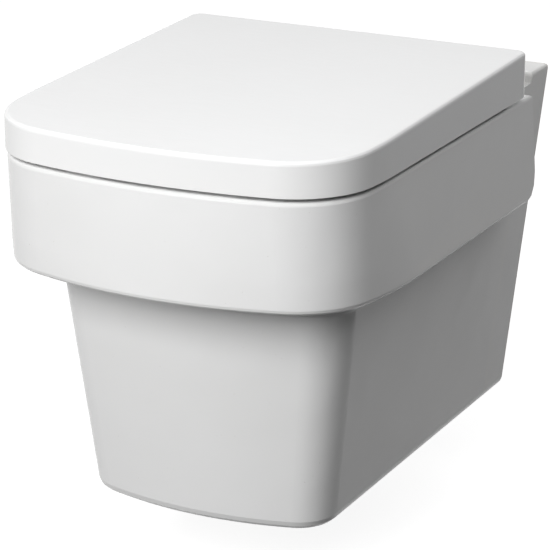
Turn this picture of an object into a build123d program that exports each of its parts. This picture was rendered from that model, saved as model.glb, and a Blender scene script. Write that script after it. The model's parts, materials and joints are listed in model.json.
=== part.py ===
from build123d import *
import os
from math import acos, atan, cos, degrees, radians, sin, sqrt

os.makedirs("parts", exist_ok=True)

# Wall hung toilet with a soft-close wrap-over seat and lid.
# Frame: origin midway between the two wall fixings, on the wall face. +Z is up, the wall lies at
# y = 0 and the pan stands out towards -Y.

# Wall interface
fixing_spacing = 180.0
fixing_hole_radius = 10.0
rim_above_fixings = 80.0
inlet_above_fixings = 35.0
outlet_below_fixings = 100.0
inlet_radius = 27.5
inlet_depth = 40.0
outlet_outer_radius = 51.0
outlet_bore_radius = 45.0
outlet_length = 80.0

# Pan outside
pan_height = 335.4
foot_half_width = 121.0
foot_front = 441.6
foot_corner = 38.0
foot_nose = 324.0
shoulder_half_width = 160.7
shoulder_front = 477.0
shoulder_corner = 50.0
shoulder_nose = 420.0
foot_edge_radius = 9.0
band_height = 102.0
band_rear = 82.0
band_low_half_width = 185.0
band_low_front = 521.6
band_low_bow = 413.0
band_low_turn = 12.0
band_low_corner = 79.4
band_low_nose = 422.0
band_heel_radius = 27.0
band_edge_radius = 5.0
rim_edge_radius = 3.5
cove_height = 30.0
cove_reach = 11.0
cove_root = 1.5
cove_steps = 4
block_depth = 41.0
block_height = 10.6
block_edge_radius = 4.0

# Pan inside
shell_wall = 12.0
back_wall = 14.0
back_wall_drop = 30.0
bowl_wall = 10.0
trap_wall = 9.0
sump_floor_wall = 13.5
lip_wall = 11.0
channel_width = 22.0
rim_roof = 12.0
channel_height = 22.0
mouth_width = 266.0
mouth_length = 276.0
mouth_front = 476.0
mouth_corner = 105.0
mouth_edge_radius = 4.0
edge_steps = 3
sump_width = 96.0
sump_length = 96.0
sump_corner = 46.0
sump_middle = 285.0
sump_floor_above_foot = 15.0
bowl_steps = 6
skin_steps = 3
trap_radius = 30.0
trap_bend = 60.0
bore_elbow_steps = 4
trap_overlap = 10.0
trap_dip_above_foot = 41.0
trap_run = 75.0
trap_rise_length = 70.0
weir_below_outlet = 3.0
duct_radius = 20.0
duct_above_inlet = 13.0
shelf_thickness = 14.0
shelf_inset = 18.0
hidden_chords = 2
overrun = 2.0

# Lid
lid_width = 360.0
lid_length = 424.8
lid_front = 523.4
lid_bow = 413.0
lid_turn = 5.7
lid_corner = 77.9
lid_nose = 611.0
lid_gap = 4.1
lid_front_height = 31.1
lid_rear_height = 43.5
lid_wall = 5.0
lid_roof = 4.6
lid_top_edge_radius = 3.5
lid_rear_corner = 12.0
lid_rear_wall = 3.0
rear_lip_below_axis = 4.0
rim_inset = 1.8

# Seat ring
seat_gap = 4.0
seat_thickness = 18.0
seat_to_lid = 2.5
seat_hole_width = 224.0
seat_hole_length = 262.0
seat_hole_front = 456.0
seat_hole_corner = 88.0
seat_outer_edge_radius = 4.0
seat_inner_edge_radius = 6.0

# Hinges
hinge_spacing = 155.0
axis_in_lid = 14.4
axis_above_rim = 27.0
arm_width = 24.0
knuckle_radius = 11.0
knuckle_length = 25.0
barrel_radius = 7.5
barrel_length = 23.0
pin_radius = 4.0
running_clearance = 0.05
side_gap = 0.5
rest_gap = 0.3
bolt_before_axis = 30.0
hinge_foot_width = 30.0
hinge_foot_length = 38.0
hinge_foot_thickness = 4.0
hinge_foot_corner = 9.0
arm_slot_clearance = 1.0
leg_root_rear = 17.5
leg_root_front = 33.0
leg_knee_low_back = 13.2
leg_knee_low_drop = 13.75
leg_knee_high_back = 20.9
leg_knee_high_drop = 4.4
web_overlap = 0.15
gasket_thickness = 1.5
notch_clearance = 2.0
barrel_end_wall = 1.5

# Fasteners and seals
seat_bolt_radius = 3.0
seat_bolt_head_radius = 6.5
seat_bolt_head_height = 4.5
seat_bolt_length = 46.0
bolt_hole_radius = 7.5
plug_length = 34.0
plug_flare = 1.5
insert_radius = 4.5
insert_length = 10.0
wall_sleeve_bore = 6.5
sleeve_flange_radius = 15.0
sleeve_flange_thickness = 2.0
washer_radius = 13.0
washer_thickness = 2.5
nut_across_flats = 19.0
nut_height = 10.0
nut_bore = 6.1
seal_bore = 22.5
seal_length = 32.0
bumper_width = 14.0
bumper_length = 30.0
bumper_stem_radius = 3.0
bumper_stem_length = 6.0
side_bumper_from_wall = 235.0
front_bumper_spread = 140.0
lid_bumper_spread = 120.0
lid_bumper_radius = 7.0
lid_bumper_sink = 1.5

# Levels and places that follow from them
rim_z = rim_above_fixings
foot_z = rim_z - pan_height
band_z = rim_z - band_height
half_lid = lid_width / 2
lid_rear = lid_length - lid_front
lid_z = rim_z + lid_gap
lid_slope = degrees(atan((lid_rear_height - lid_front_height) / lid_length))
axis_y = lid_rear - axis_in_lid
axis_z = rim_z + axis_above_rim
hinge_x = hinge_spacing / 2
bolt_y = axis_y - bolt_before_axis
seat_z = rim_z + seat_gap
seat_top = seat_z + seat_thickness
mouth_middle = -mouth_front + mouth_length / 2
channel_outset = lip_wall + channel_width
channel_top = rim_z - rim_roof
channel_floor = channel_top - channel_height
sump_z = foot_z + sump_floor_above_foot
skin_z = sump_z - sump_floor_wall
outlet_z = -outlet_below_fixings
shelf_z = rim_z - shelf_thickness
hollow_top = channel_floor - shell_wall
duct_z = inlet_above_fixings + duct_above_inlet
duct_end = -mouth_middle - mouth_length / 2 - lip_wall
lid_top = Plane(
    origin=(0, -lid_front, lid_z + lid_front_height),
    x_dir=(1, 0, 0),
    z_dir=(0, -sin(radians(lid_slope)), cos(radians(lid_slope))),
)
lid_ceiling = lid_top.offset(-lid_roof)
seat_rear = axis_y - knuckle_radius - notch_clearance
hinge_foot_z = rim_z + gasket_thickness
hinge_foot_top = hinge_foot_z + hinge_foot_thickness
notch_width = hinge_foot_width + 2 * notch_clearance
notch_front = bolt_y - hinge_foot_length / 2 - notch_clearance
ear_outer = hinge_x - arm_width / 2 - side_gap
ear_inner = ear_outer - knuckle_length
lid_knuckle_inner = hinge_x + arm_width / 2 + side_gap
seat_hole_middle = -seat_hole_front + seat_hole_length / 2
pin_bore = pin_radius + running_clearance
skirt_inner = half_lid - lid_wall - seat_to_lid + rest_gap
side_bumper_x = (mouth_width / 2 + half_lid - rim_inset - rim_edge_radius) / 2
front_bumper_y = -(mouth_front + lid_front - rim_inset) / 2
side_bumpers = ((side_bumper_x, -side_bumper_from_wall), (-side_bumper_x, -side_bumper_from_wall))
front_bumpers = ((front_bumper_spread / 2, front_bumper_y), (-front_bumper_spread / 2, front_bumper_y))
bolt_places = ((hinge_x, bolt_y), (-hinge_x, bolt_y))


def plan(half_width, rear, front, corner, nose, bow=0.0, turn=0.0, widen=0.0, chords=0):
    """Plan outline: straight rear edge and sides, a slow side bow, round corners and a bowed nose.

    The rear edge is narrower than the front by widen on each side. With chords, each arc becomes that
    many straight stretches, for sides that stay hidden.
    """
    lean = radians(turn)
    corner_x = half_width - corner - (bow - corner) * (1 - cos(lean)) * (turn > 0)
    nose_lean = acos(corner_x / (nose - corner))
    corner_y = nose - front - (nose - corner) * sin(nose_lean)
    side_end = corner_y + (bow - corner) * sin(lean)
    bends = [(bow, -turn)] if turn else []
    bends += [(corner, turn - degrees(nose_lean)), (nose, degrees(nose_lean) - 90)]
    with BuildSketch() as outline:
        with BuildLine():
            end = Line((half_width - widen, rear), (half_width, side_end)) @ 1
            ahead = Vector(0, -1)
            for radius, sweep_angle in bends:
                arc = JernArc(end, ahead, radius, sweep_angle, mode=Mode.PRIVATE)
                if chords:
                    Polyline(*[arc @ (step / chords) for step in range(chords + 1)])
                else:
                    add(arc)
                end, ahead = arc @ 1, arc % 1
            mirror(about=Plane.YZ)
            Line((half_width - widen, rear), (widen - half_width, rear))
        make_face()
    return outline.sketch


def lid_plan(rear, grow=0.0, rear_corner=0.0):
    """The lid's outline, which the seat and the rim follow at an even distance."""
    with BuildSketch() as outline:
        add(
            plan(
                half_lid + grow,
                rear,
                lid_front + grow,
                lid_corner + grow,
                lid_nose + grow,
                lid_bow + grow,
                lid_turn,
            )
        )
        if rear_corner:
            fillet(outline.vertices().sort_by(Axis.Y)[-2:], rear_corner)
    return outline.sketch


def drawn_in(distance, radius):
    """How far a rounded edge lies inside its corner, at a distance from that corner."""
    left = max(radius - distance, 0)
    return radius - sqrt(radius**2 - left**2)


def round_levels(radius):
    """Distances from a corner at which an edge rounded to this radius has a section."""
    return [radius * (1 - cos(radians(90 * step / edge_steps))) for step in range(edge_steps + 1)]


def between(low, high, share):
    """The value a share of the way from low to high."""
    return low + share * (high - low)


def body_plan(level, rear, grow=0.0, widen=0.0, chords=0):
    """The tapering body's outline at one level."""
    share = (level - foot_z) / pan_height
    return plan(
        between(foot_half_width, shoulder_half_width, share) + grow,
        rear,
        between(foot_front, shoulder_front, share) + grow,
        between(foot_corner, shoulder_corner, share) + grow,
        between(foot_nose, shoulder_nose, share) + grow,
        widen=widen,
        chords=chords,
    )


def band_plan(level, rear, grow=0.0, chords=0):
    """The band's outline at one level, from its low edge up to the rim."""
    share = (level - band_z) / band_height
    return plan(
        between(band_low_half_width, half_lid - rim_inset, share) + grow,
        rear,
        between(band_low_front, lid_front - rim_inset, share) + grow,
        between(band_low_corner, lid_corner - rim_inset, share) + grow,
        between(band_low_nose, lid_nose - rim_inset, share) + grow,
        between(band_low_bow, lid_bow - rim_inset, share) + grow,
        between(band_low_turn, lid_turn, share),
        chords=chords,
    )


def bowl_section(share, grow=0.0):
    """Width, length, corner radius and middle of the bowl's section, a share of the way down it."""
    spread = (1 - share) ** 2
    return (
        between(sump_width, mouth_width + 2 * channel_outset, spread) + 2 * grow,
        between(sump_length, mouth_length + 2 * channel_outset, spread) + 2 * grow,
        between(sump_corner, mouth_corner + channel_outset, spread) + grow,
        between(-sump_middle, mouth_middle, spread),
    )


def bowl_form():
    """The bowl from under the rim to the sump, with a parabolic wall."""
    with BuildPart() as form:
        for step in range(bowl_steps + 1):
            width, length, corner, middle = bowl_section(step / bowl_steps)
            with BuildSketch(Plane.XY.offset(between(channel_floor, sump_z, step / bowl_steps))):
                with Locations((0, middle)):
                    RectangleRounded(width, length, corner)
        loft()
    return form.part


def bowl_skin():
    """The bowl's hidden outside, a wall away, with eight flat sides that keep outside its corners.

    Its front stops half a wall inside the band.
    """
    with BuildPart() as form:
        for step in range(skin_steps + 1):
            share = step / skin_steps
            width, length, corner, middle = bowl_section(share, bowl_wall)
            with BuildSketch(Plane.XY.offset(between(channel_floor, skin_z, share))) as section:
                with Locations((0, middle)):
                    Rectangle(width, length)
                chamfer(section.vertices(), corner * (2 - sqrt(2)))
        loft(ruled=True)
        with BuildSketch(Plane.XY.offset(skin_z)):
            add(band_plan(channel_floor, 0, -shell_wall / 2, hidden_chords))
        extrude(amount=channel_floor - skin_z, mode=Mode.INTERSECT)
    return form.part


def trap_form(radius, elbow_steps=1):
    """The trapway: out of the sump, up over the weir and back to the outlet.

    Each elbow turns in a number of mitred steps.
    """
    dip_z = foot_z + trap_dip_above_foot
    weir_z = outlet_z - weir_below_outlet
    with BuildLine() as curve:
        FilletPolyline(
            (-sump_middle, dip_z),
            (trap_run - sump_middle, dip_z),
            (trap_run - sump_middle + trap_rise_length, weir_z),
            (trap_overlap - outlet_length, weir_z),
            radius=trap_bend,
        )
    places = [curve.line @ 0]
    for elbow in curve.edges().filter_by(GeomType.CIRCLE).sort_by(Axis.X):
        places += [elbow @ (step / elbow_steps) for step in range(elbow_steps + 1)]
    places.append(curve.line @ 1)
    with BuildPart() as form:
        with BuildLine(Plane.YZ) as route:
            Polyline(*[(place.X, place.Y) for place in places])
        with BuildSketch(Plane(origin=route.line @ 0, z_dir=route.line % 0)):
            Circle(radius)
        sweep(transition=Transition.RIGHT)
    return form.part


def mouth_ring(outset):
    """The rim opening's outline, moved outward by outset."""
    with BuildSketch() as ring:
        with Locations((0, mouth_middle)):
            RectangleRounded(mouth_width + 2 * outset, mouth_length + 2 * outset, mouth_corner + outset)
    return ring.sketch


def from_wall(level, depth=0.0):
    """A plane a depth in front of the wall face, looking out towards -Y, with its x along +X."""
    return Plane(origin=(0, -depth, level), x_dir=(1, 0, 0), z_dir=(0, -1, 0))


def on_knuckle(angle):
    """A point just inside the knuckles' round, at an angle that is 0 at the rear and 90 on top."""
    reach = knuckle_radius - web_overlap
    return (axis_y + reach * cos(radians(angle)), axis_z + reach * sin(radians(angle)))


# Levels of the band's sections: its rounded low edge, the rear heel above that, and the rounded rim
band_levels = [band_z + rise for rise in round_levels(band_edge_radius)]
band_levels += [band_z + rise for rise in round_levels(band_heel_radius) if rise > band_edge_radius]
band_levels += [rim_z - drop for drop in reversed(round_levels(rim_edge_radius))]


# Hollow of the double-walled casting, open below and at the lower back
with BuildPart() as hollow:
    for level in (foot_z - overrun, -back_wall_drop):
        with BuildSketch(Plane.XY.offset(level)):
            add(body_plan(level, overrun, -shell_wall, chords=hidden_chords))
    loft(ruled=True)
    for level in (-back_wall_drop, hollow_top):
        with BuildSketch(Plane.XY.offset(level)):
            add(body_plan(level, -back_wall, -shell_wall, chords=hidden_chords))
    loft(ruled=True)
    for level in (band_z + shell_wall, hollow_top):
        with BuildSketch(Plane.XY.offset(level)):
            add(band_plan(level, -band_rear - shell_wall, -shell_wall, hidden_chords))
    loft(ruled=True)
    with BuildSketch(Plane.XY.offset(hollow_top)):
        with Locations((0, -back_wall)):
            Rectangle(
                2 * (shoulder_half_width - shelf_inset),
                -back_wall - mouth_middle,
                align=(Align.CENTER, Align.MAX),
            )
    extrude(amount=shelf_z - hollow_top)
    with BuildSketch(Plane.XY.offset(hollow_top)):
        add(mouth_ring(channel_outset + bowl_wall))
    extrude(amount=rim_z - hollow_top, mode=Mode.SUBTRACT)
    with BuildSketch(from_wall(inlet_above_fixings)):
        Circle(inlet_radius + bowl_wall)
    extrude(amount=inlet_depth + bowl_wall, mode=Mode.SUBTRACT)
    with BuildSketch(from_wall(duct_z)):
        Circle(duct_radius + bowl_wall)
    extrude(amount=duct_end, mode=Mode.SUBTRACT)

# Casing of the pan: rim band, tapering shroud, block behind the lid, rim channel, inlet and wall plate
with BuildPart() as casing:
    for level in band_levels:
        below = drawn_in(level - band_z, band_edge_radius)
        above = drawn_in(rim_z - level, rim_edge_radius)
        heel = drawn_in(level - band_z, band_heel_radius)
        with BuildSketch(Plane.XY.offset(level)):
            add(band_plan(level, -band_rear - heel - above, -below - above))
    loft(ruled=True)
    for rise in round_levels(foot_edge_radius) + [pan_height]:
        level = foot_z + rise
        with BuildSketch(Plane.XY.offset(level)):
            add(body_plan(level, 0, -drawn_in(rise, foot_edge_radius)))
    loft(ruled=True)
    for step in range(cove_steps + 1):
        rise = step / cove_steps
        flare = (cove_reach + cove_root) * rise**2 - cove_root
        level = band_z - cove_height * (1 - rise)
        with BuildSketch(Plane.XY.offset(level)):
            add(body_plan(level, -band_rear - band_heel_radius, flare, widen=flare + cove_root))
    loft(ruled=True)
    for depth in round_levels(block_edge_radius) + [block_height]:
        level = rim_z + block_height - depth
        inset = drawn_in(depth, block_edge_radius)
        with BuildSketch(Plane.XY.offset(level)):
            add(body_plan(level, 0, -inset))
            with Locations((0, -block_depth + inset)):
                Rectangle(lid_width, lid_front, align=(Align.CENTER, Align.MAX), mode=Mode.SUBTRACT)
    loft(ruled=True)
    add(hollow.part, mode=Mode.SUBTRACT)
    add(bowl_skin(), mode=Mode.SUBTRACT)
    for drop in [rim_z - channel_floor] + round_levels(mouth_edge_radius)[::-1]:
        with BuildSketch(Plane.XY.offset(rim_z - drop)):
            add(mouth_ring(drawn_in(drop, mouth_edge_radius)))
    loft(ruled=True, mode=Mode.SUBTRACT)
    with BuildSketch(Plane.XY.offset(channel_floor)):
        add(mouth_ring(channel_outset))
        add(mouth_ring(lip_wall), mode=Mode.SUBTRACT)
    extrude(amount=channel_height, mode=Mode.SUBTRACT)
    with BuildSketch(from_wall(inlet_above_fixings)):
        Circle(inlet_radius)
    extrude(amount=inlet_depth, mode=Mode.SUBTRACT)
    with BuildSketch(from_wall(duct_z)):
        Circle(duct_radius)
    extrude(amount=duct_end, mode=Mode.SUBTRACT)
    with BuildSketch(from_wall(0)):
        with GridLocations(fixing_spacing, 1, 2, 1):
            Circle(fixing_hole_radius)
    extrude(amount=back_wall, mode=Mode.SUBTRACT)
    with BuildSketch(Plane.XY.offset(rim_z)):
        with Locations(*bolt_places):
            Circle(bolt_hole_radius)
    extrude(amount=-shelf_thickness, mode=Mode.SUBTRACT)

# The pan is cast in five pieces that are luted together before the firing. Three make the casing, which
# is parted behind the seat, just past the inlet's boss, and along the band's low edge.
rear_joint = from_wall(0, inlet_depth + bowl_wall)
band_joint = Plane.XY.offset(band_z)

# Rear: wall plate with the inlet and the fixing holes, the block and the rear ends of the sides
with BuildPart() as pan_back:
    add(casing.part)
    split(bisect_by=rear_joint, keep=Keep.BOTTOM)
pan_back.part.label = "pan_back"
export_step(pan_back.part, "parts/pan_back.step")

# Rim: band, seat shelf, rim channel and duct
with BuildPart() as pan_rim:
    add(casing.part)
    split(bisect_by=rear_joint, keep=Keep.TOP)
    split(bisect_by=band_joint, keep=Keep.TOP)
pan_rim.part.label = "pan_rim"
export_step(pan_rim.part, "parts/pan_rim.step")

# Shroud: the tapering front and sides under the band
with BuildPart() as pan_shroud:
    add(casing.part)
    split(bisect_by=rear_joint, keep=Keep.TOP)
    split(bisect_by=band_joint, keep=Keep.BOTTOM)
pan_shroud.part.label = "pan_shroud"
export_step(pan_shroud.part, "parts/pan_shroud.step")

# Bowl: hung in the casing from the rim channel down to the sump, open to the trapway at its rear
with BuildPart() as pan_bowl:
    add(bowl_skin())
    add(bowl_form(), mode=Mode.SUBTRACT)
    add(trap_form(trap_radius, bore_elbow_steps), mode=Mode.SUBTRACT)
    with BuildSketch(from_wall(duct_z)):
        Circle(duct_radius)
    extrude(amount=duct_end, mode=Mode.SUBTRACT)
pan_bowl.part.label = "pan_bowl"
export_step(pan_bowl.part, "parts/pan_bowl.step")

# Trapway: up from the sump over the weir and out through the waste spigot
with BuildPart() as pan_trapway:
    add(trap_form(trap_radius + trap_wall))
    with BuildSketch(from_wall(outlet_z)):
        Circle(outlet_outer_radius)
    extrude(amount=outlet_length)
    add(bowl_skin(), mode=Mode.SUBTRACT)
    add(trap_form(trap_radius, bore_elbow_steps), mode=Mode.SUBTRACT)
    with BuildSketch(from_wall(outlet_z)):
        Circle(outlet_bore_radius)
    extrude(amount=outlet_length - bowl_wall, mode=Mode.SUBTRACT)
pan_trapway.part.label = "pan_trapway"
export_step(pan_trapway.part, "parts/pan_trapway.step")

# Seat ring: a flat ring inside the lid's skirt, notched round the hinge arms, with two hinge ears
with BuildPart() as seat_ring:
    for drop in [seat_thickness] + round_levels(seat_outer_edge_radius)[::-1]:
        with BuildSketch(Plane.XY.offset(seat_top - drop)):
            add(lid_plan(seat_rear, -lid_wall - seat_to_lid - drawn_in(drop, seat_outer_edge_radius)))
    loft(ruled=True)
    for drop in [seat_thickness] + round_levels(seat_inner_edge_radius)[::-1]:
        outset = drawn_in(drop, seat_inner_edge_radius)
        with BuildSketch(Plane.XY.offset(seat_top - drop)):
            with Locations((0, seat_hole_middle)):
                RectangleRounded(
                    seat_hole_width + 2 * outset, seat_hole_length + 2 * outset, seat_hole_corner + outset
                )
    loft(ruled=True, mode=Mode.SUBTRACT)
    with BuildSketch(Plane.XY.offset(seat_z)):
        with Locations((hinge_x, notch_front), (-hinge_x, notch_front)):
            Rectangle(notch_width, seat_rear - notch_front, align=(Align.CENTER, Align.MIN))
    extrude(amount=seat_thickness, mode=Mode.SUBTRACT)
    for start in (ear_inner, -ear_outer):
        with BuildSketch(Plane.YZ.offset(start)):
            with Locations((axis_y, axis_z)):
                Circle(knuckle_radius)
        extrude(amount=knuckle_length)
    web_width = hinge_x - notch_width / 2 - ear_inner
    for start in (ear_inner, -ear_inner - web_width):
        with BuildSketch(Plane.YZ.offset(start)):
            with BuildLine():
                Polyline(
                    (seat_rear - notch_clearance, seat_z),
                    (seat_rear, seat_z),
                    on_knuckle(210),
                    (axis_y, axis_z),
                    on_knuckle(90),
                    on_knuckle(114),
                    (seat_rear - knuckle_radius, seat_top),
                    (seat_rear - knuckle_radius, seat_z),
                    close=True,
                )
            make_face()
        extrude(amount=web_width)
    for start, way, bore in ((-ear_outer, 1, barrel_radius), (ear_outer, -1, pin_bore)):
        with BuildSketch(Plane.YZ.offset(start)):
            with Locations((axis_y, axis_z)):
                Circle(bore)
        extrude(amount=way * barrel_length, mode=Mode.SUBTRACT)
    with BuildSketch(Plane.XY.offset(seat_z)):
        with Locations(*side_bumpers, *front_bumpers):
            Circle(bumper_stem_radius)
    extrude(amount=bumper_stem_length, mode=Mode.SUBTRACT)
seat_ring.part.label = "seat_ring"
export_step(seat_ring.part, "parts/seat_ring.step")

# Four rubber feet under the seat ring, each with a stem in the ring
with BuildPart() as seat_bumpers:
    with BuildSketch(Plane.XY.offset(rim_z + rest_gap)):
        with Locations(*side_bumpers):
            SlotOverall(bumper_length, bumper_width, rotation=90)
        with Locations(*front_bumpers):
            SlotOverall(bumper_length, bumper_width)
    extrude(amount=seat_gap - rest_gap)
    with BuildSketch(Plane.XY.offset(seat_z)):
        with Locations(*side_bumpers, *front_bumpers):
            Circle(bumper_stem_radius)
    extrude(amount=bumper_stem_length)
seat_bumpers.part.label = "seat_bumpers"
export_step(seat_bumpers.part, "parts/seat_bumpers.step")

# Two rubber stops under the front of the lid, sunk into its underside
with BuildPart() as lid_bumpers:
    with BuildSketch(Plane.XY.offset(seat_top + rest_gap)):
        with Locations((0, front_bumper_y)):
            with GridLocations(lid_bumper_spread, 1, 2, 1):
                Circle(lid_bumper_radius)
    extrude(amount=lid_rear_height)
    split(bisect_by=lid_ceiling.offset(lid_bumper_sink), keep=Keep.BOTTOM)
lid_bumpers.part.label = "lid_bumpers"
export_step(lid_bumpers.part, "parts/lid_bumpers.step")

# Space inside the lid's skirt, up to its sloping ceiling
with BuildPart() as lid_core:
    with BuildSketch(Plane.XY.offset(lid_z)):
        add(lid_plan(lid_rear - lid_rear_wall, -lid_wall, lid_rear_corner - lid_rear_wall))
    extrude(amount=lid_rear_height)
    split(bisect_by=lid_ceiling, keep=Keep.BOTTOM)

# Lid: a wedge-shaped shell that wraps over the seat, with an open rear and two hinge knuckles
with BuildPart() as lid:
    with BuildSketch(Plane.XY.offset(lid_z)):
        add(lid_plan(lid_rear, 0, lid_rear_corner))
    for drop in reversed(round_levels(lid_top_edge_radius)):
        inset = drawn_in(drop, lid_top_edge_radius)
        with BuildSketch(lid_top.offset(-drop)):
            with Locations((0, lid_front)):
                add(lid_plan(lid_rear - inset, -inset, lid_rear_corner - inset))
    loft(ruled=True)
    add(lid_core.part, mode=Mode.SUBTRACT)
    for start in (lid_knuckle_inner, -lid_knuckle_inner - knuckle_length):
        with BuildSketch(Plane.YZ.offset(start)):
            with Locations((axis_y, axis_z)):
                Circle(knuckle_radius)
            with Locations((axis_y - knuckle_radius, axis_z)):
                Rectangle(
                    knuckle_radius + axis_in_lid - lid_rear_wall / 2,
                    lid_z + lid_rear_height - lid_roof - axis_z,
                    align=(Align.MIN, Align.MIN),
                )
        extrude(amount=knuckle_length)
    for start, way, bore in ((lid_knuckle_inner, 1, barrel_radius), (-lid_knuckle_inner, -1, pin_bore)):
        with BuildSketch(Plane.YZ.offset(start)):
            with Locations((axis_y, axis_z)):
                Circle(bore)
        extrude(amount=way * barrel_length, mode=Mode.SUBTRACT)
    with BuildSketch(Plane.XZ.offset(-lid_rear)):
        with Locations((0, lid_z)):
            Rectangle(
                lid_width - 2 * lid_rear_corner,
                axis_z - rear_lip_below_axis - lid_z,
                align=(Align.CENTER, Align.MIN),
            )
        with Locations((hinge_x, lid_z), (-hinge_x, lid_z)):
            Rectangle(
                arm_width + side_gap,
                lid_rear_height - lid_roof - rest_gap,
                align=(Align.CENTER, Align.MIN),
            )
    extrude(amount=lid_rear_wall, mode=Mode.SUBTRACT)
    with BuildSketch(Plane.XZ.offset(-lid_rear)):
        for side in (-1, 1):
            with Locations((side * (skirt_inner - lid_rear_corner / 2), lid_z)):
                Rectangle(
                    lid_rear_corner,
                    axis_z - rear_lip_below_axis - lid_z,
                    align=(Align.CENTER, Align.MIN),
                )
    extrude(amount=lid_rear_corner, mode=Mode.SUBTRACT)
    add(lid_bumpers.part, mode=Mode.SUBTRACT)
lid.part.label = "lid"
export_step(lid.part, "parts/lid.step")

# Hinge arms: a foot on the rim, two legs beside the bolt and a knuckle round the pin
for side, name in ((-1, "hinge_arm_left"), (1, "hinge_arm_right")):
    with BuildPart() as arm:
        with BuildSketch(Plane.YZ.offset(side * hinge_x - arm_width / 2)):
            with Locations((axis_y, axis_z)):
                Circle(knuckle_radius)
            with BuildLine():
                Polyline(
                    (axis_y - leg_root_front, hinge_foot_top),
                    (axis_y - leg_root_rear, hinge_foot_top),
                    (axis_y - leg_knee_low_back, axis_z - leg_knee_low_drop),
                    on_knuckle(240),
                    (axis_y, axis_z),
                    on_knuckle(127),
                    (axis_y - leg_knee_high_back, axis_z - leg_knee_high_drop),
                    close=True,
                )
            make_face()
        extrude(amount=arm_width)
        with BuildSketch(Plane.XY.offset(hinge_foot_top)):
            with Locations((side * hinge_x, axis_y - knuckle_radius - arm_slot_clearance)):
                Rectangle(
                    2 * (seat_bolt_head_radius + arm_slot_clearance),
                    leg_root_front,
                    align=(Align.CENTER, Align.MAX),
                )
        extrude(amount=axis_above_rim, mode=Mode.SUBTRACT)
        with BuildSketch(Plane.XY.offset(hinge_foot_z)):
            with Locations((side * hinge_x, bolt_y)):
                RectangleRounded(hinge_foot_width, hinge_foot_length, hinge_foot_corner)
        extrude(amount=hinge_foot_thickness)
        with BuildSketch(Plane.XY.offset(hinge_foot_z)):
            with Locations((side * hinge_x, bolt_y)):
                Circle(seat_bolt_radius)
        extrude(amount=hinge_foot_thickness, mode=Mode.SUBTRACT)
        with BuildSketch(Plane.YZ.offset(side * hinge_x - arm_width / 2)):
            with Locations((axis_y, axis_z)):
                Circle(pin_radius)
        extrude(amount=arm_width, mode=Mode.SUBTRACT)
    arm.part.label = name
    export_step(arm.part, f"parts/{name}.step")

# Hinge pins: held in the arms, running in the seat's barrels and in the lid's barrels
pin_reach = arm_width / 2 + side_gap + barrel_length - barrel_end_wall - 2 * side_gap
for side, name in ((-1, "hinge_pin_left"), (1, "hinge_pin_right")):
    with BuildPart() as pin:
        with BuildSketch(Plane.YZ.offset(side * hinge_x - pin_reach)):
            with Locations((axis_y, axis_z)):
                Circle(pin_radius)
        extrude(amount=2 * pin_reach)
    pin.part.label = name
    export_step(pin.part, f"parts/{name}.step")

# Rotary dampers, one in the seat's left ear and one in the lid's right knuckle
for name, start in (("seat_damper", -ear_outer), ("lid_damper", lid_knuckle_inner)):
    with BuildPart() as damper:
        with BuildSketch(Plane.YZ.offset(start)):
            with Locations((axis_y, axis_z)):
                Circle(barrel_radius)
        extrude(amount=barrel_length)
        with BuildSketch(Plane.YZ.offset(start)):
            with Locations((axis_y, axis_z)):
                Circle(pin_bore)
        extrude(amount=barrel_length - barrel_end_wall, mode=Mode.SUBTRACT)
    damper.part.label = name
    export_step(damper.part, f"parts/{name}.step")

# Rubber gaskets between the hinge feet and the glaze
with BuildPart() as hinge_gaskets:
    with BuildSketch(Plane.XY.offset(rim_z)):
        with Locations(*bolt_places):
            RectangleRounded(hinge_foot_width, hinge_foot_length, hinge_foot_corner)
            Circle(seat_bolt_radius, mode=Mode.SUBTRACT)
    extrude(amount=gasket_thickness)
hinge_gaskets.part.label = "hinge_gaskets"
export_step(hinge_gaskets.part, "parts/hinge_gaskets.step")

# Socket-head bolts that clamp the hinge feet from above
with BuildPart() as seat_bolts:
    with BuildSketch(Plane.XY.offset(hinge_foot_top)):
        with Locations(*bolt_places):
            Circle(seat_bolt_head_radius)
    extrude(amount=seat_bolt_head_height)
    with BuildSketch(Plane.XY.offset(hinge_foot_top)):
        with Locations(*bolt_places):
            Circle(seat_bolt_radius)
    extrude(amount=-seat_bolt_length)
    with BuildSketch(Plane.XY.offset(hinge_foot_top + seat_bolt_head_height)):
        with Locations(*bolt_places):
            RegularPolygon(seat_bolt_radius, 6)
    extrude(amount=-seat_bolt_head_height / 2, mode=Mode.SUBTRACT)
seat_bolts.part.label = "seat_bolts"
export_step(seat_bolts.part, "parts/seat_bolts.step")

# Brass inserts that the bolts draw up into the rubber plugs
insert_z = hinge_foot_top - seat_bolt_length
with BuildPart() as plug_inserts:
    with BuildSketch(Plane.XY.offset(insert_z)):
        with Locations(*bolt_places):
            RegularPolygon(insert_radius, 6)
            Circle(seat_bolt_radius, mode=Mode.SUBTRACT)
    extrude(amount=insert_length)
plug_inserts.part.label = "plug_inserts"
export_step(plug_inserts.part, "parts/plug_inserts.step")

# Rubber plugs squeezed wide under the rim's shelf
plug_end = rim_z - plug_length
with BuildPart() as plug_blank:
    for radius, top, bottom in (
        (bolt_hole_radius, rim_z, shelf_z),
        (bolt_hole_radius + plug_flare, shelf_z, plug_end),
    ):
        with BuildSketch(Plane.XY.offset(bottom)):
            Circle(radius)
            Circle(seat_bolt_radius, mode=Mode.SUBTRACT)
        extrude(amount=top - bottom)
with BuildPart() as expansion_plugs:
    with Locations(*bolt_places):
        add(plug_blank.part)
    add(plug_inserts.part, mode=Mode.SUBTRACT)
expansion_plugs.part.label = "expansion_plugs"
export_step(expansion_plugs.part, "parts/expansion_plugs.step")

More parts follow.
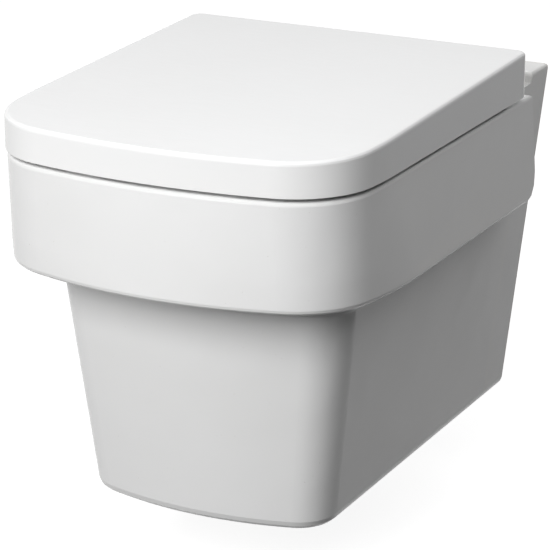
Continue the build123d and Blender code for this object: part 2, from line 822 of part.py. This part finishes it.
# Wall fixings: plastic sleeves in the wall plate, washers and nuts inside the hollow
with BuildPart() as wall_sleeves:
    with BuildSketch(from_wall(0)):
        with GridLocations(fixing_spacing, 1, 2, 1):
            Circle(fixing_hole_radius)
    extrude(amount=back_wall)
    with BuildSketch(from_wall(0, back_wall)):
        with GridLocations(fixing_spacing, 1, 2, 1):
            Circle(sleeve_flange_radius)
    extrude(amount=sleeve_flange_thickness)
    with BuildSketch(from_wall(0)):
        with GridLocations(fixing_spacing, 1, 2, 1):
            Circle(wall_sleeve_bore)
    extrude(amount=back_wall + sleeve_flange_thickness, mode=Mode.SUBTRACT)
wall_sleeves.part.label = "wall_sleeves"
export_step(wall_sleeves.part, "parts/wall_sleeves.step")

with BuildPart() as wall_washers:
    with BuildSketch(from_wall(0, back_wall + sleeve_flange_thickness)):
        with GridLocations(fixing_spacing, 1, 2, 1):
            Circle(washer_radius)
            Circle(wall_sleeve_bore, mode=Mode.SUBTRACT)
    extrude(amount=washer_thickness)
wall_washers.part.label = "wall_washers"
export_step(wall_washers.part, "parts/wall_washers.step")

with BuildPart() as wall_nuts:
    with BuildSketch(from_wall(0, back_wall + sleeve_flange_thickness + washer_thickness)):
        with GridLocations(fixing_spacing, 1, 2, 1):
            RegularPolygon(nut_across_flats / 2, 6, major_radius=False)
            Circle(nut_bore, mode=Mode.SUBTRACT)
    extrude(amount=nut_height)
wall_nuts.part.label = "wall_nuts"
export_step(wall_nuts.part, "parts/wall_nuts.step")

# Rubber seal of the flush pipe, seated in the inlet
with BuildPart() as inlet_seal:
    with BuildSketch(from_wall(inlet_above_fixings)):
        Circle(inlet_radius)
        Circle(seal_bore, mode=Mode.SUBTRACT)
    extrude(amount=seal_length)
inlet_seal.part.label = "inlet_seal"
export_step(inlet_seal.part, "parts/inlet_seal.step")
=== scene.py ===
"""Looks of the wall hung toilet: glazed china, gloss seat plastic, metal, rubber and plain plastic."""

import json

import bpy
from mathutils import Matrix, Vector

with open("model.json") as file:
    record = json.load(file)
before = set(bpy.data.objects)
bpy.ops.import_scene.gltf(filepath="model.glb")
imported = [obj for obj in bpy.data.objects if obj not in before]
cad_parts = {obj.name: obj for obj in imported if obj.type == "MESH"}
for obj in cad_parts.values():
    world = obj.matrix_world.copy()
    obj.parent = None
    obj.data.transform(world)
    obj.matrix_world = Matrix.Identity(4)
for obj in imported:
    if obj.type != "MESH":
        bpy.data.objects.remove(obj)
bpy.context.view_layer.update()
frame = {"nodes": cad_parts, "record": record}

# Camera fitted to the photograph, in metres and millimetres
CAMERA_PLACE = (1.0746, -2.3816, 0.7231)
CAMERA_TARGET = (0.0012, -0.2785, -0.0705)
CAMERA_LENS = 172.9
SENSOR_WIDTH = 36.0

# Stage: the rim, at 0.080, stands 400 mm above the floor. The floor has one tone for the light that
# it throws back, and another, with a glow, for the camera and reflections.
FLOOR_LEVEL = -0.320
FLOOR_WIDTH = 12.0
FLOOR_TONE = (0.03, 0.03, 0.03)
FLOOR_SEEN = (0.30, 0.30, 0.30)
FLOOR_GLOW = 0.90
WHITE = (1.0, 1.0, 1.0)

# Lamps that face one target: place and size in metres, power in watts
LAMP_TARGET = (0.0, -0.25, 0.0)
KEY_LAMP = ((-0.35, -2.60, 1.25), 1.5, 64.0)
TOP_LAMP = ((1.0, -0.6, 1.8), 1.8, 16.0)
REAR_LAMP = ((-1.5, 1.8, 2.3), 1.2, 26.0)
WORLD_LEVEL = 0.05

# The pan's foot and wall face are bare clay for this depth
FOOT_LEVEL = -0.2554
BARE_DEPTH = 0.0012

# Noise gathers round 0.5. These ranges of it are stretched over a whole effect.
NOISE_CORE = (0.35, 0.65)
NOISE_RANGE = (0.3, 0.7)
SPECK_RANGE = (0.80, 0.83)


def new_material(name, metallic=0.0, coat=0.0, coat_roughness=0.03, specular=0.5):
    """A material with a Principled shader, and the constants that the whole surface shares."""
    material = bpy.data.materials.new(name)
    material.use_nodes = True
    shader = material.node_tree.nodes["Principled BSDF"]
    shader.inputs["Metallic"].default_value = metallic
    shader.inputs["Coat Weight"].default_value = coat
    shader.inputs["Coat Roughness"].default_value = coat_roughness
    shader.inputs["Specular IOR Level"].default_value = specular
    return material


def node_of(material, kind, **settings):
    """A new node of a kind with its settings."""
    node = material.node_tree.nodes.new(kind)
    for key, value in settings.items():
        setattr(node, key, value)
    return node


def join(material, source, target):
    """Links an output to an input."""
    material.node_tree.links.new(source, target)


def place_on(material, stretch=(1.0, 1.0, 1.0)):
    """The place on the object in metres, stretched along its axes."""
    coordinates = node_of(material, "ShaderNodeTexCoord")
    mapping = node_of(material, "ShaderNodeMapping")
    mapping.inputs["Scale"].default_value = stretch
    join(material, coordinates.outputs["Object"], mapping.inputs["Vector"])
    return mapping.outputs["Vector"]


def noise(material, scale, detail=3.0, stretch=(1.0, 1.0, 1.0)):
    """Soft noise from 0 to 1 with its grains one metre over the scale apart."""
    texture = node_of(material, "ShaderNodeTexNoise")
    texture.inputs["Scale"].default_value = scale
    texture.inputs["Detail"].default_value = detail
    join(material, place_on(material, stretch), texture.inputs["Vector"])
    return texture.outputs["Fac"]


def span(material, value, low, high, to_low=0.0, to_high=1.0):
    """Stretches the range low to high of a value to another range, and stops at its ends."""
    mapped = node_of(material, "ShaderNodeMapRange", clamp=True)
    limits = {"From Min": low, "From Max": high, "To Min": to_low, "To Max": to_high}
    for socket, number in limits.items():
        mapped.inputs[socket].default_value = number
    join(material, value, mapped.inputs["Value"])
    return mapped.outputs["Result"]


def mixed(material, factor, first, second):
    """A colour between two colours or colour outputs."""
    mix = node_of(material, "ShaderNodeMix", data_type="RGBA")
    join(material, factor, mix.inputs["Factor"])
    first_colour, second_colour, result = mix.inputs[6], mix.inputs[7], mix.outputs[2]
    for socket, colour in ((first_colour, first), (second_colour, second)):
        if isinstance(colour, tuple):
            socket.default_value = (*colour, 1.0)
        else:
            join(material, colour, socket)
    return result


def largest(material, first, second):
    """The larger of two values."""
    node = node_of(material, "ShaderNodeMath", operation="MAXIMUM")
    join(material, first, node.inputs[0])
    join(material, second, node.inputs[1])
    return node.outputs[0]


def edge_wear(material, low=0.52, high=0.60):
    """1 along raised edges and 0 on flat faces."""
    geometry = node_of(material, "ShaderNodeNewGeometry")
    return span(material, geometry.outputs["Pointiness"], low, high)


def finish_surface(material, colour, roughness, bumps):
    """Sets the shader's colour, roughness and normal. Each bump is a height and its depth in metres."""
    shader = material.node_tree.nodes["Principled BSDF"]
    join(material, colour, shader.inputs["Base Color"])
    join(material, roughness, shader.inputs["Roughness"])
    normal = None
    for height, depth in bumps:
        bump = node_of(material, "ShaderNodeBump")
        bump.inputs["Distance"].default_value = depth
        join(material, height, bump.inputs["Height"])
        if normal is not None:
            join(material, normal, bump.inputs["Normal"])
        normal = bump.outputs["Normal"]
    join(material, normal, shader.inputs["Normal"])
    return material


def glazed_china(name):
    """White glaze with faint flow, a thinner warmer edge, and bare fired clay underneath and behind."""
    material = new_material(name, coat=0.06, specular=0.18)
    drift = span(material, noise(material, scale=5.0), *NOISE_CORE)
    glaze = mixed(material, drift, (0.905, 0.905, 0.900), (0.925, 0.926, 0.925))
    glaze = mixed(material, edge_wear(material), glaze, (0.945, 0.940, 0.925))
    specks = span(material, noise(material, scale=620.0, detail=1.0), *SPECK_RANGE)
    glaze = mixed(material, specks, glaze, (0.62, 0.60, 0.56))
    place = node_of(material, "ShaderNodeSeparateXYZ")
    join(material, place_on(material), place.inputs["Vector"])
    under = span(material, place.outputs["Z"], FOOT_LEVEL, FOOT_LEVEL + BARE_DEPTH, 1.0, 0.0)
    behind = span(material, place.outputs["Y"], -BARE_DEPTH, -BARE_DEPTH / 2)
    bare = largest(material, under, behind)
    grain = noise(material, scale=160.0, detail=5.0)
    clay = mixed(material, grain, (0.70, 0.66, 0.58), (0.80, 0.77, 0.70))
    colour = mixed(material, bare, glaze, clay)
    smear = noise(material, scale=9.0, detail=5.0)
    smear = span(material, smear, *NOISE_RANGE, to_low=0.12, to_high=0.22)
    dull = span(material, bare, 0.0, 1.0, to_high=0.75)
    roughness = largest(material, smear, dull)
    flow = noise(material, scale=14.0, detail=2.0)
    peel = noise(material, scale=170.0, detail=2.0)
    return finish_surface(material, colour, roughness, ((flow, 0.0009), (peel, 0.00004)))


def seat_plastic(name):
    """White gloss thermoset with a fine moulded skin and light rubbing marks."""
    material = new_material(name, coat=0.06, coat_roughness=0.05, specular=0.22)
    drift = span(material, noise(material, scale=4.0), *NOISE_CORE)
    colour = mixed(material, drift, (0.915, 0.917, 0.918), (0.930, 0.932, 0.934))
    colour = mixed(material, edge_wear(material), colour, (0.955, 0.955, 0.950))
    rubbing = noise(material, scale=40.0, detail=6.0, stretch=(1.0, 9.0, 1.0))
    roughness = span(material, rubbing, *NOISE_RANGE, to_low=0.10, to_high=0.22)
    skin = noise(material, scale=420.0)
    sink = noise(material, scale=7.0, detail=1.0)
    return finish_surface(material, colour, roughness, ((sink, 0.0004), (skin, 0.00003)))


def metal(name, dark, bright, roughness, grain, stretch, worn, depth):
    """Plated or drawn metal: a tone that drifts, a grain along one axis and brighter worn edges."""
    material = new_material(name, metallic=1.0)
    drift = span(material, noise(material, scale=60.0, detail=4.0), *NOISE_RANGE)
    colour = mixed(material, drift, dark, bright)
    colour = mixed(material, edge_wear(material), colour, worn)
    lines = noise(material, grain, 4.0, stretch)
    rough = span(material, lines, *NOISE_RANGE, *roughness)
    return finish_surface(material, colour, rough, ((lines, depth),))


def moulded(name, dark, bright, roughness, grain, depth):
    """Rubber or plain plastic: a mottled tone, a fine grain and paler rubbed edges."""
    material = new_material(name)
    drift = span(material, noise(material, scale=90.0, detail=5.0), *NOISE_RANGE)
    colour = mixed(material, drift, dark, bright)
    pale = tuple(min(1.0, tone * 1.25 + 0.02) for tone in bright)
    colour = mixed(material, edge_wear(material), colour, pale)
    skin = noise(material, grain)
    rough = span(material, skin, *NOISE_RANGE, *roughness)
    return finish_surface(material, colour, rough, ((skin, depth),))


def make_materials():
    """The record's material slots, each with its own procedural material."""
    even = (1.0, 1.0, 1.0)
    along_x = (0.06, 1.0, 1.0)
    round_z = (1.0, 1.0, 0.3)
    return {
        "glazed_china": glazed_china("glazed_china"),
        "seat_plastic": seat_plastic("seat_plastic"),
        "chrome": metal(
            "chrome",
            dark=(0.72, 0.73, 0.75),
            bright=(0.84, 0.85, 0.86),
            roughness=(0.04, 0.12),
            grain=900.0,
            stretch=even,
            worn=(0.92, 0.92, 0.92),
            depth=0.000004,
        ),
        "steel": metal(
            "steel",
            dark=(0.50, 0.50, 0.51),
            bright=(0.66, 0.66, 0.67),
            roughness=(0.22, 0.38),
            grain=2600.0,
            stretch=along_x,
            worn=(0.80, 0.80, 0.80),
            depth=0.00001,
        ),
        "zinc_steel": metal(
            "zinc_steel",
            dark=(0.55, 0.57, 0.60),
            bright=(0.74, 0.75, 0.77),
            roughness=(0.25, 0.45),
            grain=700.0,
            stretch=round_z,
            worn=(0.84, 0.85, 0.86),
            depth=0.00001,
        ),
        "brass": metal(
            "brass",
            dark=(0.60, 0.43, 0.18),
            bright=(0.80, 0.62, 0.30),
            roughness=(0.22, 0.36),
            grain=2200.0,
            stretch=round_z,
            worn=(0.90, 0.74, 0.42),
            depth=0.00001,
        ),
        "white_rubber": moulded(
            "white_rubber",
            dark=(0.74, 0.74, 0.73),
            bright=(0.82, 0.82, 0.81),
            roughness=(0.55, 0.75),
            grain=1500.0,
            depth=0.00004,
        ),
        "black_rubber": moulded(
            "black_rubber",
            dark=(0.025, 0.025, 0.026),
            bright=(0.05, 0.05, 0.052),
            roughness=(0.50, 0.72),
            grain=1300.0,
            depth=0.00005,
        ),
        "grey_plastic": moulded(
            "grey_plastic",
            dark=(0.36, 0.37, 0.38),
            bright=(0.46, 0.47, 0.48),
            roughness=(0.38, 0.55),
            grain=1100.0,
            depth=0.00003,
        ),
    }


def dress_nodes(materials):
    """Gives each CAD node the material of its slot in the record."""
    for subpart in frame["record"]["subparts"]:
        node = frame["nodes"][subpart["node"]]
        for slot in node.material_slots:
            slot.link = "OBJECT"
            slot.material = materials[subpart["material_slot"]]


def seen_ray(nodes, links):
    """1 for the rays of the camera, mirrors and glass."""
    path = nodes.new("ShaderNodeLightPath")
    seen = path.outputs["Is Camera Ray"]
    for ray in ("Is Glossy Ray", "Is Transmission Ray"):
        either = nodes.new("ShaderNodeMath")
        either.operation = "MAXIMUM"
        links.new(seen, either.inputs[0])
        links.new(path.outputs[ray], either.inputs[1])
        seen = either.outputs[0]
    return seen


def seen_white(nodes, links, lit):
    """A surround that is white to the camera and to mirrors and glass, and lit as given otherwise."""
    white = nodes.new("ShaderNodeBackground")
    white.inputs["Color"].default_value = (*WHITE, 1.0)
    white.inputs["Strength"].default_value = 1.0
    mix = nodes.new("ShaderNodeMixShader")
    links.new(seen_ray(nodes, links), mix.inputs["Fac"])
    links.new(lit.outputs[0], mix.inputs[1])
    links.new(white.outputs[0], mix.inputs[2])
    return mix


def make_world():
    """An even pale surround, white where it is seen."""
    world = bpy.data.worlds.new("studio")
    bpy.context.scene.world = world
    world.use_nodes = True
    nodes, links = world.node_tree.nodes, world.node_tree.links
    nodes.clear()
    surround = nodes.new("ShaderNodeBackground")
    surround.inputs["Color"].default_value = (*WHITE, 1.0)
    surround.inputs["Strength"].default_value = WORLD_LEVEL
    out = nodes.new("ShaderNodeOutputWorld")
    links.new(seen_white(nodes, links, surround).outputs[0], out.inputs["Surface"])


def make_floor():
    """A plain floor that keeps the object's shadow, white to the camera and duller to other rays."""
    bpy.ops.mesh.primitive_plane_add(size=FLOOR_WIDTH, location=(0, 0, FLOOR_LEVEL))
    floor = bpy.context.object
    floor.name = "floor"
    material = bpy.data.materials.new("floor")
    material.use_nodes = True
    nodes, links = material.node_tree.nodes, material.node_tree.links
    nodes.clear()
    dull = nodes.new("ShaderNodeBsdfDiffuse")
    dull.inputs["Color"].default_value = (*FLOOR_TONE, 1.0)
    white = nodes.new("ShaderNodeBsdfDiffuse")
    white.inputs["Color"].default_value = (*FLOOR_SEEN, 1.0)
    glow = nodes.new("ShaderNodeEmission")
    glow.inputs["Strength"].default_value = FLOOR_GLOW
    seen = nodes.new("ShaderNodeAddShader")
    links.new(white.outputs[0], seen.inputs[0])
    links.new(glow.outputs[0], seen.inputs[1])
    mix = nodes.new("ShaderNodeMixShader")
    links.new(seen_ray(nodes, links), mix.inputs["Fac"])
    links.new(dull.outputs[0], mix.inputs[1])
    links.new(seen.outputs[0], mix.inputs[2])
    out = nodes.new("ShaderNodeOutputMaterial")
    links.new(mix.outputs[0], out.inputs["Surface"])
    floor.data.materials.append(material)


def make_lamp(name, place, size, power):
    """A square soft box that faces the target."""
    data = bpy.data.lights.new(name, "AREA")
    data.shape = "SQUARE"
    data.size = size
    data.energy = power
    lamp = bpy.data.objects.new(name, data)
    lamp.location = place
    aim = Vector(LAMP_TARGET) - Vector(place)
    lamp.rotation_euler = aim.to_track_quat("-Z", "Y").to_euler()
    bpy.context.scene.collection.objects.link(lamp)


def make_camera():
    """The camera at the photograph's viewing angle."""
    data = bpy.data.cameras.new("camera")
    data.lens = CAMERA_LENS
    data.sensor_width = SENSOR_WIDTH
    camera = bpy.data.objects.new("camera", data)
    camera.location = CAMERA_PLACE
    aim = Vector(CAMERA_TARGET) - Vector(CAMERA_PLACE)
    camera.rotation_euler = aim.to_track_quat("-Z", "Y").to_euler()
    bpy.context.scene.collection.objects.link(camera)
    bpy.context.scene.camera = camera


dress_nodes(make_materials())
make_world()
make_floor()
make_lamp("key", *KEY_LAMP)
make_lamp("top", *TOP_LAMP)
make_lamp("rear", *REAR_LAMP)
make_camera()
bpy.context.scene.view_settings.view_transform = "Standard"
